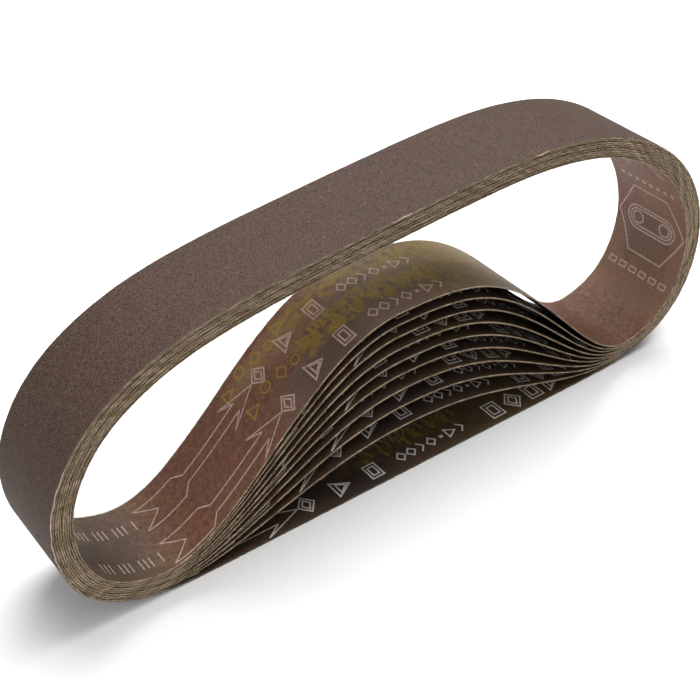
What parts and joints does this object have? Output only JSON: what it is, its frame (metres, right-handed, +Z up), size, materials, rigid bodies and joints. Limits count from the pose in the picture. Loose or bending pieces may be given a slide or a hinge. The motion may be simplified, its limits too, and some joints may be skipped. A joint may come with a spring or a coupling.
{
  "type": "nested pack of sanding belts",
  "caption": "Endless cloth-backed sanding belts nested one inside another, their spare length folded into a fan of arches over a flat lower run.",
  "frame": {"origin": "middle of the footprint, on the surface that the outermost belt's flat lower run rests on", "axes": "+X along the pack towards its steeper, rounder end, +Y across the belts' width, +Z up"},
  "size_m": [0.2216, 0.0302, 0.0883],
  "materials": {
    "backing_cloth": "matte resin-filled reddish brown twill cloth",
    "abrasive_grain": "fine matte brown-grey aluminium oxide grain in resin",
    "splice_film": "satin translucent straw-coloured polyester film"
  },
  "bodies": {
    "belt_01": {"belt_01_cloth": "backing_cloth", "belt_01_grain": "abrasive_grain", "belt_01_splice_tape": "splice_film"},
    "belt_02": {"belt_02_cloth": "backing_cloth", "belt_02_grain": "abrasive_grain", "belt_02_splice_tape": "splice_film"},
    "belt_03": {"belt_03_cloth": "backing_cloth", "belt_03_grain": "abrasive_grain", "belt_03_splice_tape": "splice_film"},
    "belt_04": {"belt_04_cloth": "backing_cloth", "belt_04_grain": "abrasive_grain", "belt_04_splice_tape": "splice_film"},
    "belt_05": {"belt_05_cloth": "backing_cloth", "belt_05_grain": "abrasive_grain", "belt_05_splice_tape": "splice_film"},
    "belt_06": {"belt_06_cloth": "backing_cloth", "belt_06_grain": "abrasive_grain", "belt_06_splice_tape": "splice_film"},
    "belt_07": {"belt_07_cloth": "backing_cloth", "belt_07_grain": "abrasive_grain", "belt_07_splice_tape": "splice_film"},
    "belt_08": {"belt_08_cloth": "backing_cloth", "belt_08_grain": "abrasive_grain", "belt_08_splice_tape": "splice_film"},
    "belt_09": {"belt_09_cloth": "backing_cloth", "belt_09_grain": "abrasive_grain", "belt_09_splice_tape": "splice_film"},
    "belt_10": {"belt_10_cloth": "backing_cloth", "belt_10_grain": "abrasive_grain", "belt_10_splice_tape": "splice_film"}
  },
  "joints": [
    {"name": "belt_02_pull_out", "type": "slide", "parent": "belt_01", "child": "belt_02", "axis": [0, 1, 0], "range_m": [-0.04, 0.04]},
    {"name": "belt_03_pull_out", "type": "slide", "parent": "belt_01", "child": "belt_03", "axis": [0, 1, 0], "range_m": [-0.04, 0.04]},
    {"name": "belt_04_pull_out", "type": "slide", "parent": "belt_01", "child": "belt_04", "axis": [0, 1, 0], "range_m": [-0.04, 0.04]},
    {"name": "belt_05_pull_out", "type": "slide", "parent": "belt_01", "child": "belt_05", "axis": [0, 1, 0], "range_m": [-0.04, 0.04]},
    {"name": "belt_06_pull_out", "type": "slide", "parent": "belt_01", "child": "belt_06", "axis": [0, 1, 0], "range_m": [-0.04, 0.04]},
    {"name": "belt_07_pull_out", "type": "slide", "parent": "belt_01", "child": "belt_07", "axis": [0, 1, 0], "range_m": [-0.04, 0.04]},
    {"name": "belt_08_pull_out", "type": "slide", "parent": "belt_01", "child": "belt_08", "axis": [0, 1, 0], "range_m": [-0.04, 0.04]},
    {"name": "belt_09_pull_out", "type": "slide", "parent": "belt_01", "child": "belt_09", "axis": [0, 1, 0], "range_m": [-0.04, 0.04]},
    {"name": "belt_10_pull_out", "type": "slide", "parent": "belt_01", "child": "belt_10", "axis": [0, 1, 0], "range_m": [-0.04, 0.04]}
  ]
}
